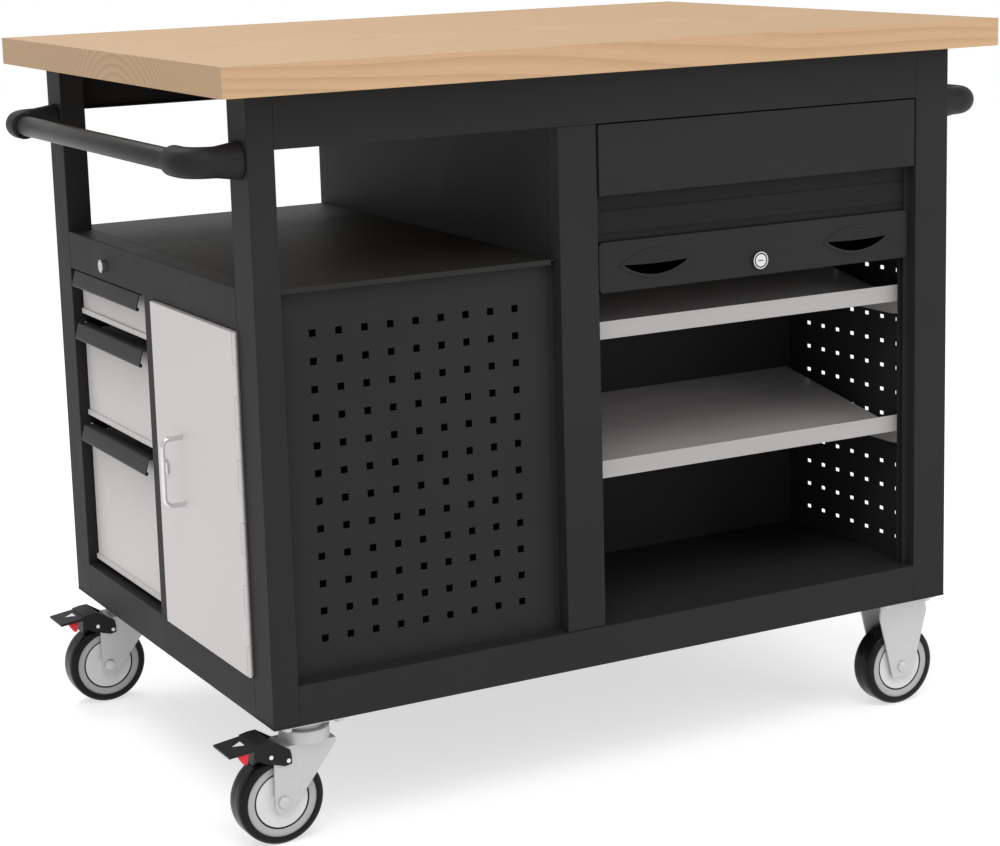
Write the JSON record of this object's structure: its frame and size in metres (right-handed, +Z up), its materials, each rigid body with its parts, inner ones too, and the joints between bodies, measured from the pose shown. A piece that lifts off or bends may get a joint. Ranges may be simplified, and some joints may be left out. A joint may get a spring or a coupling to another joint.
{
  "type": "mobile workbench with drawers",
  "caption": "Mobile steel workbench with wooden worktop, end drawers and cupboard, roller-shutter cabinet with sloping shelves, push handles and braked swivel casters.",
  "frame": {"origin": "on the floor, under the middle of the bench", "axes": "+Z up; -Y is the front with the roller shutter; -X is the end with the door and the drawers"},
  "size_m": [1.299, 0.9, 1.06],
  "materials": {
    "oiled_wood": "oiled solid beech",
    "black_steel": "fine textured powder coat",
    "grey_steel": "satin powder coat",
    "shelf_steel": "galvanised and coated",
    "bright_steel": "zinc plated",
    "chromed": "polished",
    "black_plastic": "moulded, fine grain",
    "hub_plastic": "moulded",
    "black_rubber": "smooth tread"
  },
  "bodies": {
    "frame": {"worktop": "oiled_wood", "worktop_screws": "bright_steel", "frame_posts": "black_steel", "frame_top_rails": "black_steel", "frame_bottom_rails": "black_steel", "uprights_and_lock_rail": "black_steel", "floor_pan": "black_steel", "deck": "black_steel", "front_perforated_panel": "black_steel", "end_perforated_panel": "black_steel", "cabinet_sides": "black_steel", "cabinet_back": "black_steel", "rear_panels": "black_steel", "drawer_housing": "black_steel", "shutter_fascia": "black_steel", "shutter_guides": "black_steel", "shelves": "shelf_steel", "shelf_brackets": "shelf_steel", "door_hinge": "grey_steel", "push_handle_tubes": "black_steel", "push_handle_sockets": "black_plastic", "fixed_runners": "bright_steel", "swivel_plates": "bright_steel", "caster_bolts": "bright_steel", "fixed_forks": "bright_steel", "fixed_axles": "bright_steel"},
    "shutter": {"shutter_bar": "black_steel", "shutter_leaf_1": "black_steel", "shutter_shell_grips": "black_plastic"},
    "shutter_key_lock": {"shutter_lock": "chromed"},
    "curtain_2": {"shutter_leaf_2": "black_steel"},
    "curtain_3": {"shutter_leaf_3": "black_steel"},
    "door": {"door_panel": "grey_steel", "door_bow_handle": "chromed"},
    "door_key_lock": {"door_lock": "chromed"},
    "central_key_lock": {"central_lock": "chromed"},
    "drawer_1": {"drawer_1_tray": "grey_steel", "drawer_1_grip": "black_plastic"},
    "drawer_1_runners": {"drawer_1_mid_runners": "bright_steel"},
    "drawer_2": {"drawer_2_tray": "grey_steel", "drawer_2_grip": "black_plastic"},
    "drawer_2_runners": {"drawer_2_mid_runners": "bright_steel"},
    "drawer_3": {"drawer_3_tray": "grey_steel", "drawer_3_grip": "black_plastic"},
    "drawer_3_runners": {"drawer_3_mid_runners": "bright_steel"},
    "swivel_front": {"fork_front": "bright_steel", "axle_front": "bright_steel"},
    "swivel_wheel_front": {"hub_front": "hub_plastic", "tyre_front": "black_rubber"},
    "pedal_front": {"brake_pedal_front": "black_plastic"},
    "fixed_wheel_front": {"fixed_hub_front": "hub_plastic", "fixed_tyre_front": "black_rubber"},
    "swivel_rear": {"fork_rear": "bright_steel", "axle_rear": "bright_steel"},
    "swivel_wheel_rear": {"hub_rear": "hub_plastic", "tyre_rear": "black_rubber"},
    "pedal_rear": {"brake_pedal_rear": "black_plastic"},
    "fixed_wheel_rear": {"fixed_hub_rear": "hub_plastic", "fixed_tyre_rear": "black_rubber"}
  },
  "joints": [
    {"name": "shutter_slide", "type": "slide", "parent": "frame", "child": "shutter", "axis": [0, 0, 1], "range_m": [-0.476, 0.06]},
    {"name": "curtain_2_slide", "type": "slide", "parent": "frame", "child": "curtain_2", "axis": [0, 0, 1], "range_m": [-0.3095, 0.0391]},
    {"name": "curtain_3_slide", "type": "slide", "parent": "frame", "child": "curtain_3", "axis": [0, 0, 1], "range_m": [-0.1429, 0.0181]},
    {"name": "shutter_lock_turn", "type": "hinge", "parent": "shutter", "child": "shutter_key_lock", "pos_m": [0.229, -0.388, 0.73], "axis": [0, 1, 0], "range_deg": [0, 90]},
    {"name": "door_hinge_turn", "type": "hinge", "parent": "frame", "child": "door", "pos_m": [-0.5662, -0.3332, 0.469], "axis": [0, 0, 1], "range_deg": [0, 110]},
    {"name": "door_lock_turn", "type": "hinge", "parent": "door", "child": "door_key_lock", "pos_m": [-0.568, -0.06, 0.47], "axis": [1, 0, 0], "range_deg": [0, 90]},
    {"name": "central_lock_turn", "type": "hinge", "parent": "frame", "child": "central_key_lock", "pos_m": [-0.558, 0.1745, 0.73], "axis": [1, 0, 0], "range_deg": [0, 90]},
    {"name": "drawer_1_slide", "type": "slide", "parent": "frame", "child": "drawer_1", "axis": [-1, 0, 0], "range_m": [0, 0.38]},
    {"name": "drawer_1_runner_slide", "type": "slide", "parent": "frame", "child": "drawer_1_runners", "axis": [-1, 0, 0], "range_m": [0, 0.19]},
    {"name": "drawer_2_slide", "type": "slide", "parent": "frame", "child": "drawer_2", "axis": [-1, 0, 0], "range_m": [0, 0.38]},
    {"name": "drawer_2_runner_slide", "type": "slide", "parent": "frame", "child": "drawer_2_runners", "axis": [-1, 0, 0], "range_m": [0, 0.19]},
    {"name": "drawer_3_slide", "type": "slide", "parent": "frame", "child": "drawer_3", "axis": [-1, 0, 0], "range_m": [0, 0.38]},
    {"name": "drawer_3_runner_slide", "type": "slide", "parent": "frame", "child": "drawer_3_runners", "axis": [-1, 0, 0], "range_m": [0, 0.19]},
    {"name": "swivel_front_turn", "type": "hinge", "parent": "frame", "child": "swivel_front", "pos_m": [-0.499, -0.348, 0.149], "axis": [0, 0, 1], "continuous": true},
    {"name": "swivel_wheel_front_roll", "type": "hinge", "parent": "swivel_front", "child": "swivel_wheel_front", "pos_m": [-0.543, -0.348, 0.0625], "axis": [0, 1, 0], "continuous": true},
    {"name": "pedal_front_press", "type": "hinge", "parent": "swivel_front", "child": "pedal_front", "pos_m": [-0.535, -0.348, 0.121], "axis": [0, -1, 0], "range_deg": [0, 7]},
    {"name": "fixed_wheel_front_roll", "type": "hinge", "parent": "frame", "child": "fixed_wheel_front", "pos_m": [0.503, -0.348, 0.0625], "axis": [0, 1, 0], "continuous": true},
    {"name": "swivel_rear_turn", "type": "hinge", "parent": "frame", "child": "swivel_rear", "pos_m": [-0.499, 0.348, 0.149], "axis": [0, 0, 1], "continuous": true},
    {"name": "swivel_wheel_rear_roll", "type": "hinge", "parent": "swivel_rear", "child": "swivel_wheel_rear", "pos_m": [-0.543, 0.348, 0.0625], "axis": [0, 1, 0], "continuous": true},
    {"name": "pedal_rear_press", "type": "hinge", "parent": "swivel_rear", "child": "pedal_rear", "pos_m": [-0.535, 0.348, 0.121], "axis": [0, -1, 0], "range_deg": [0, 7]},
    {"name": "fixed_wheel_rear_roll", "type": "hinge", "parent": "frame", "child": "fixed_wheel_rear", "pos_m": [0.503, 0.348, 0.0625], "axis": [0, 1, 0], "continuous": true}
  ],
  "couplings": [
    {"joint": "curtain_2_slide", "follows": "shutter_slide", "ratio": 0.65},
    {"joint": "curtain_3_slide", "follows": "shutter_slide", "ratio": 0.3},
    {"joint": "drawer_1_runner_slide", "follows": "drawer_1_slide", "ratio": 0.5},
    {"joint": "drawer_2_runner_slide", "follows": "drawer_2_slide", "ratio": 0.5},
    {"joint": "drawer_3_runner_slide", "follows": "drawer_3_slide", "ratio": 0.5}
  ]
}
